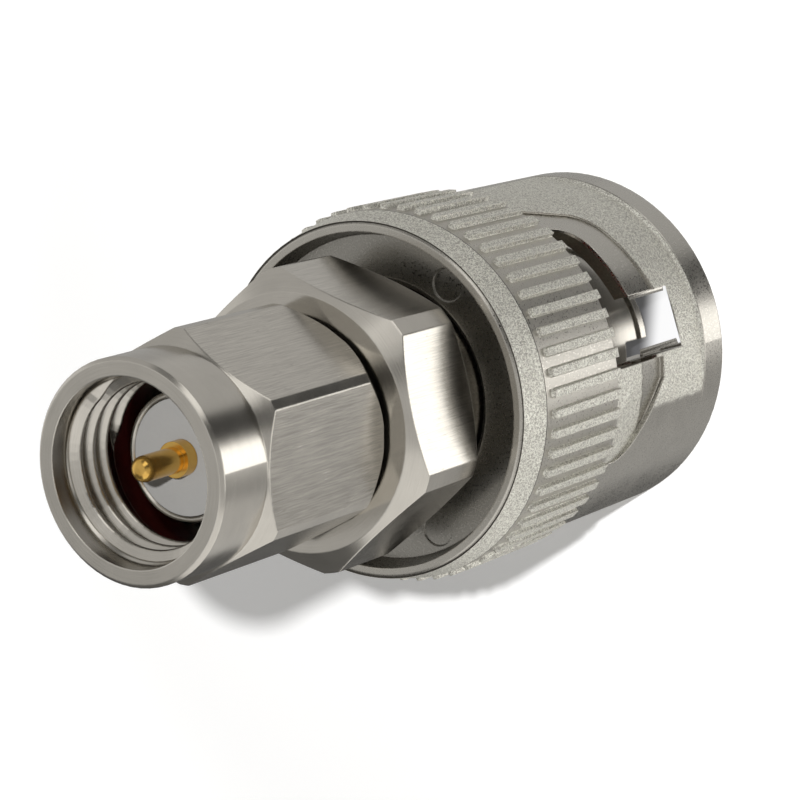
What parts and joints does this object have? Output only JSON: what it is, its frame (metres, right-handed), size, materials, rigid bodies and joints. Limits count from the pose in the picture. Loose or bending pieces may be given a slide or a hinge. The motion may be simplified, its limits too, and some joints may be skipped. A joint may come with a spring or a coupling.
{
  "type": "coaxial adapter",
  "caption": "Coaxial adapter that joins a threaded male plug with a spinning hexagonal nut to a male bayonet plug with a ribbed, sprung coupling, around one wrench flange.",
  "frame": {"origin": "centre of the bayonet mouth's front face, on which the adapter stands", "axes": "+Z along the common axis, from the bayonet mouth to the nut's front face; +X and +Y across it"},
  "size_m": [0.0142, 0.0142, 0.0293],
  "materials": {
    "turned_nickel": "bright nickel plate on turned metal",
    "satin_nickel": "frosted satin nickel plate on a casting",
    "gold": "polished gold plate",
    "white_insulator": "matt white",
    "red_silicone": "matt red",
    "spring_metal": "plain spring metal"
  },
  "bodies": {
    "shell": {"hex_body": "turned_nickel", "sma_snap_ring": "spring_metal", "sma_gasket": "red_silicone", "sma_insulator": "white_insulator", "sma_pin": "gold", "bnc_barrel": "turned_nickel", "bnc_outer_contact": "turned_nickel", "bnc_insulator": "white_insulator", "bnc_pin": "gold", "bnc_gasket": "red_silicone", "thrust_washer_front": "spring_metal", "wave_washer_front": "spring_metal", "wave_washer_rear": "spring_metal"},
    "nut": {"sma_nut": "turned_nickel"},
    "slider": {"thrust_washer_rear": "spring_metal"},
    "coupling": {"bayonet_coupling": "satin_nickel"}
  },
  "joints": [
    {"name": "nut_spin", "type": "hinge", "parent": "shell", "child": "nut", "pos_m": [0, 0, 0.021], "axis": [0, 0, 1], "continuous": true},
    {"name": "coupling_slide", "type": "slide", "parent": "shell", "child": "slider", "axis": [0, 0, -1], "range_m": [0, 0.0007], "stiffness_N_per_m": 30000, "deforming": ["wave_washer_front", "wave_washer_rear"]},
    {"name": "coupling_spin", "type": "hinge", "parent": "slider", "child": "coupling", "pos_m": [0, 0, 0.0136], "axis": [0, 0, 1], "continuous": true}
  ]
}
